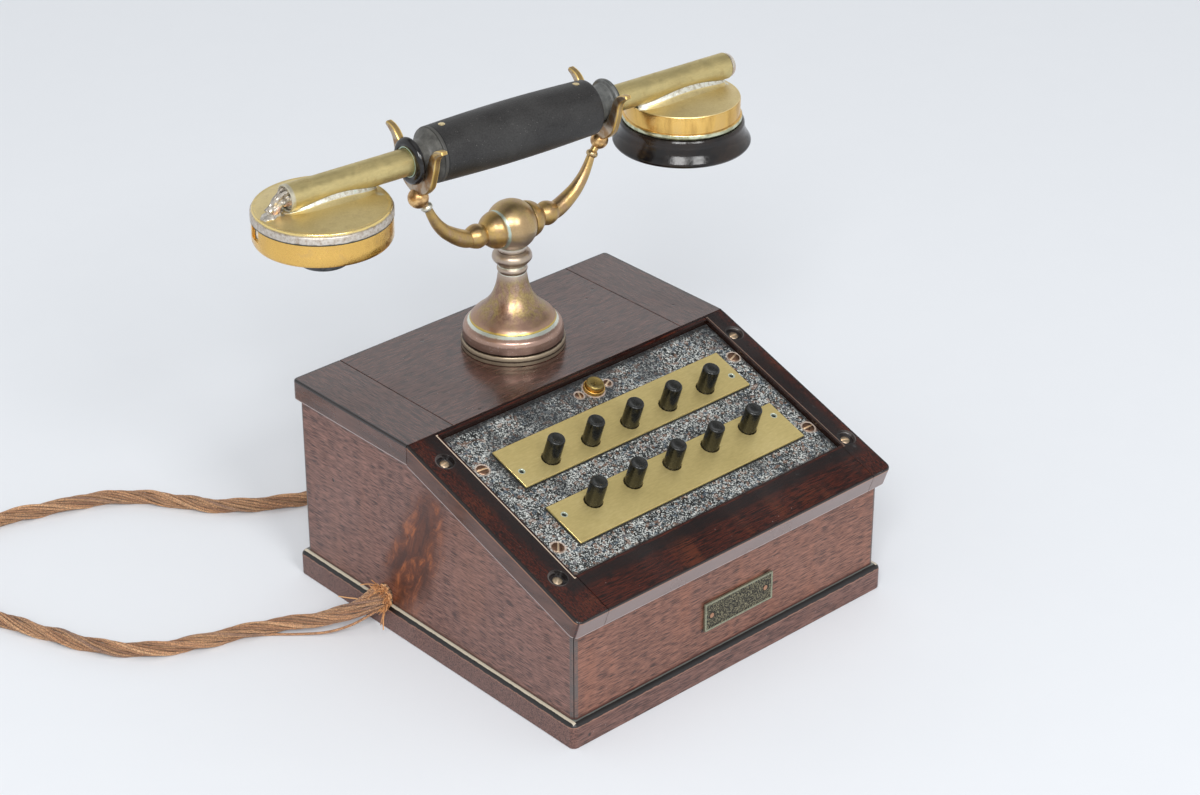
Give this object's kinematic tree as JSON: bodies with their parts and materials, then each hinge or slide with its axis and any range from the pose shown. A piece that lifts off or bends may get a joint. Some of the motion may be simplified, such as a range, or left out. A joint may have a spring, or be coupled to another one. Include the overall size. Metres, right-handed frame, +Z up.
{
  "type": "desk intercom telephone",
  "caption": "Wooden desk intercom telephone with a sloping push-key panel, a turned brass cradle and a lift-off tube handset with transmitter and receiver.",
  "frame": {"origin": "centre of the plinth board's flat underside", "axes": "+Z up, +X to the user's right, -Y towards the user, where the sloping key panel faces"},
  "size_m": [0.3549, 0.3194, 0.2169],
  "materials": {
    "mahogany": "french polished mahogany, worn satin",
    "grey_mahogany": "greyed polished mahogany",
    "dark_mahogany": "dark glossy mahogany",
    "aged_brass": "matt olive brass",
    "gold_brass": "polished golden brass",
    "strip_brass": "fine grained matt brass",
    "worn_nickel": "brass with its nickel worn thin",
    "ebonite": "glossy black hard rubber",
    "dull_ebonite": "satin black hard rubber",
    "speckled_panel": "grey speckled fibre board",
    "copper_wire": "enamelled copper wire",
    "brown_cloth": "brown cotton braid"
  },
  "bodies": {
    "console": {"base_board": "mahogany", "side_left": "mahogany", "side_right": "mahogany", "front_board": "mahogany", "back_board": "mahogany", "top_board": "grey_mahogany", "top_cleat_left": "grey_mahogany", "top_cleat_right": "grey_mahogany", "frame_stile_left": "dark_mahogany", "frame_stile_right": "dark_mahogany", "frame_rail_front": "dark_mahogany", "frame_rail_rear": "dark_mahogany", "key_strip_rear": "strip_brass", "key_strip_front": "strip_brass", "name_plate": "strip_brass", "call_screw_left": "aged_brass", "call_screw_right": "aged_brass", "panel_screw_1": "aged_brass", "panel_screw_2": "aged_brass", "panel_screw_3": "aged_brass", "panel_screw_4": "aged_brass", "frame_screw_1": "aged_brass", "frame_screw_2": "aged_brass", "frame_screw_3": "aged_brass", "frame_screw_4": "aged_brass", "key_panel": "speckled_panel", "call_bush": "gold_brass", "contact_bank": "ebonite", "terminal_block": "ebonite", "hook_switch": "ebonite", "induction_coil": "copper_wire", "cradle_pillar": "worn_nickel", "line_cable": "brown_cloth"},
    "cradle": {"cradle_ball": "worn_nickel", "arm_left": "worn_nickel", "arm_right": "worn_nickel"},
    "handset": {"handset_tube": "aged_brass", "grip": "dull_ebonite", "collar_left": "ebonite", "collar_right": "ebonite", "grip_pin_left": "aged_brass", "grip_pin_right": "aged_brass", "tube_end_cap": "aged_brass", "cord_stub": "brown_cloth", "transmitter_cup": "aged_brass", "transmitter_ring": "gold_brass", "mouthpiece": "ebonite", "receiver_can": "gold_brass", "ear_cap": "ebonite"},
    "call_button": {"call_button": "gold_brass"},
    "key_1": {"key_1": "dull_ebonite"},
    "key_2": {"key_2": "dull_ebonite"},
    "key_3": {"key_3": "dull_ebonite"},
    "key_4": {"key_4": "dull_ebonite"},
    "key_5": {"key_5": "dull_ebonite"},
    "key_6": {"key_6": "dull_ebonite"},
    "key_7": {"key_7": "dull_ebonite"},
    "key_8": {"key_8": "dull_ebonite"},
    "key_9": {"key_9": "dull_ebonite"},
    "key_10": {"key_10": "dull_ebonite"}
  },
  "joints": [
    {"name": "cradle_rise", "type": "slide", "parent": "console", "child": "cradle", "axis": [0, 0, 1], "range_m": [0, 0.004], "stiffness_N_per_m": 150, "springref_m": 0.02},
    {"name": "handset_lift", "type": "slide", "parent": "cradle", "child": "handset", "axis": [0, 0, 1], "range_m": [0, 0.08]},
    {"name": "call_button_press", "type": "slide", "parent": "console", "child": "call_button", "axis": [0, 0.3225, -0.9466], "range_m": [0, 0.002], "stiffness_N_per_m": 300, "springref_m": -0.0015},
    {"name": "key_1_press", "type": "slide", "parent": "console", "child": "key_1", "axis": [0, 0.3225, -0.9466], "range_m": [0, 0.004], "stiffness_N_per_m": 250, "springref_m": -0.002},
    {"name": "key_2_press", "type": "slide", "parent": "console", "child": "key_2", "axis": [0, 0.3225, -0.9466], "range_m": [0, 0.004], "stiffness_N_per_m": 250, "springref_m": -0.002},
    {"name": "key_3_press", "type": "slide", "parent": "console", "child": "key_3", "axis": [0, 0.3225, -0.9466], "range_m": [0, 0.004], "stiffness_N_per_m": 250, "springref_m": -0.002},
    {"name": "key_4_press", "type": "slide", "parent": "console", "child": "key_4", "axis": [0, 0.3225, -0.9466], "range_m": [0, 0.004], "stiffness_N_per_m": 250, "springref_m": -0.002},
    {"name": "key_5_press", "type": "slide", "parent": "console", "child": "key_5", "axis": [0, 0.3225, -0.9466], "range_m": [0, 0.004], "stiffness_N_per_m": 250, "springref_m": -0.002},
    {"name": "key_6_press", "type": "slide", "parent": "console", "child": "key_6", "axis": [0, 0.3225, -0.9466], "range_m": [0, 0.004], "stiffness_N_per_m": 250, "springref_m": -0.002},
    {"name": "key_7_press", "type": "slide", "parent": "console", "child": "key_7", "axis": [0, 0.3225, -0.9466], "range_m": [0, 0.004], "stiffness_N_per_m": 250, "springref_m": -0.002},
    {"name": "key_8_press", "type": "slide", "parent": "console", "child": "key_8", "axis": [0, 0.3225, -0.9466], "range_m": [0, 0.004], "stiffness_N_per_m": 250, "springref_m": -0.002},
    {"name": "key_9_press", "type": "slide", "parent": "console", "child": "key_9", "axis": [0, 0.3225, -0.9466], "range_m": [0, 0.004], "stiffness_N_per_m": 250, "springref_m": -0.002},
    {"name": "key_10_press", "type": "slide", "parent": "console", "child": "key_10", "axis": [0, 0.3225, -0.9466], "range_m": [0, 0.004], "stiffness_N_per_m": 250, "springref_m": -0.002}
  ]
}
